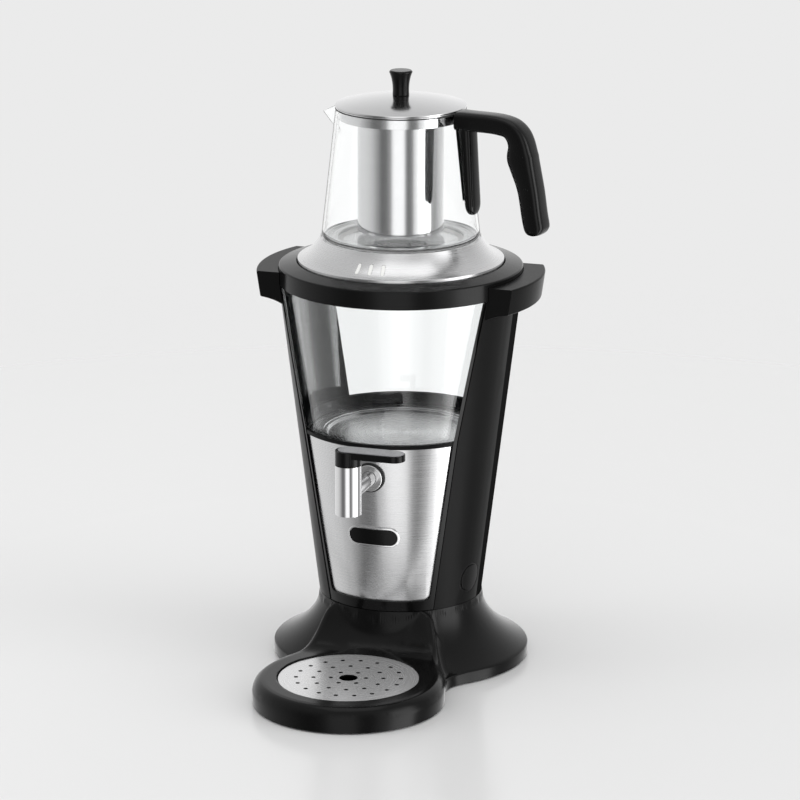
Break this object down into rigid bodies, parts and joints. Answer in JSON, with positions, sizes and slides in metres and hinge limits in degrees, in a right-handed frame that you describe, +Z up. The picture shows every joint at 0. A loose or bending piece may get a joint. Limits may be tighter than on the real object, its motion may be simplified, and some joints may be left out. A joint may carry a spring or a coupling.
{
  "type": "electric samovar",
  "caption": "Electric samovar: tapered body with a glass water tank, tap, flared base with a drip tray, and a glass teapot with an infuser on a steel warming lid.",
  "frame": {"origin": "on the table, under the axis of the body, at the middle of the rubber ring foot", "axes": "+Z up along the body's axis, -Y towards the tap and the drip tray, +X towards the teapot's handle"},
  "size_m": [0.2448, 0.3103, 0.4843],
  "materials": {
    "base_black": "fine moulded grain, satin black",
    "column_black": "fine spark-eroded grain, satin black",
    "gloss_black": "polished black moulding",
    "inner_plastic": "plain moulding",
    "inlay_grey": "satin grey",
    "vent_white": "plain white",
    "rubber": "matt",
    "silicone": "translucent, matt",
    "brushed_steel": "brushed",
    "polished_steel": "polished",
    "spun_steel": "spun in rings",
    "element_steel": "oxidised sheath",
    "brass": "turned",
    "tank_glass": "clear",
    "pot_glass": "clear",
    "board_green": "solder mask",
    "ceramic": "unglazed",
    "lead_red": "glass braid"
  },
  "bodies": {
    "body": {"base_shell": "base_black", "base_plate": "base_black", "base_screws": "polished_steel", "rubber_feet": "rubber", "cord_gland": "rubber", "left_column": "column_black", "right_column": "column_black", "rear_housing": "gloss_black", "left_lug": "column_black", "right_lug": "column_black", "front_frame": "gloss_black", "front_panel": "brushed_steel", "badge_rim": "polished_steel", "badge_plate": "gloss_black", "upper_ring": "column_black", "tank_glass": "tank_glass", "tank_seal": "silicone", "tank_band": "column_black", "heater_plate": "brushed_steel", "heating_element": "element_steel", "element_terminals": "brass", "thermostat": "ceramic", "thermal_fuse": "element_steel", "outlet_elbow": "silicone", "control_board": "board_green", "board_posts": "inner_plastic", "board_parts": "inner_plastic", "terminal_block": "ceramic", "heater_leads": "lead_red", "tap_gasket": "rubber", "tap_rosette": "spun_steel", "tap_stem": "polished_steel", "tap_nut": "brass", "tap_spout": "polished_steel", "button_bezel": "gloss_black", "power_switch": "inner_plastic"},
    "tap_handle": {"tap_lever": "gloss_black", "lever_inlay": "inlay_grey", "valve_plug": "brass"},
    "button": {"power_button": "gloss_black"},
    "cup": {"drip_cup": "base_black"},
    "grille": {"drip_grille": "brushed_steel"},
    "tank_lid": {"lid_dome": "brushed_steel", "warming_plate": "polished_steel", "vent_strip": "vent_white", "lid_skirt": "base_black", "lid_seal": "silicone"},
    "teapot": {"teapot_glass": "pot_glass", "pot_handle": "gloss_black", "handle_bond": "rubber"},
    "infuser": {"infuser_basket": "polished_steel", "infuser_strainer": "polished_steel"},
    "pot_cover": {"pot_lid": "polished_steel", "lid_knob": "gloss_black", "knob_screw": "polished_steel"}
  },
  "joints": [
    {"name": "tap_turn", "type": "hinge", "parent": "body", "child": "tap_handle", "pos_m": [0, -0.133, 0.1955], "axis": [0, 0, -1], "range_deg": [0, 90]},
    {"name": "button_press", "type": "slide", "parent": "body", "child": "button", "axis": [-0.9511, 0.309, 0], "range_m": [0, 0.002], "stiffness_N_per_m": 600},
    {"name": "cup_lift", "type": "slide", "parent": "body", "child": "cup", "axis": [0, 0, 1], "range_m": [0, 0.04]},
    {"name": "grille_lift", "type": "slide", "parent": "cup", "child": "grille", "axis": [0, 0, 1], "range_m": [0, 0.04]},
    {"name": "lid_lift", "type": "slide", "parent": "body", "child": "tank_lid", "axis": [0, 0, 1], "range_m": [0, 0.06]},
    {"name": "teapot_lift", "type": "slide", "parent": "tank_lid", "child": "teapot", "axis": [0, 0, 1], "range_m": [0, 0.1]},
    {"name": "infuser_lift", "type": "slide", "parent": "teapot", "child": "infuser", "axis": [0, 0, 1], "range_m": [0, 0.115]},
    {"name": "pot_lid_lift", "type": "slide", "parent": "infuser", "child": "pot_cover", "axis": [0, 0, 1], "range_m": [0, 0.06]}
  ]
}
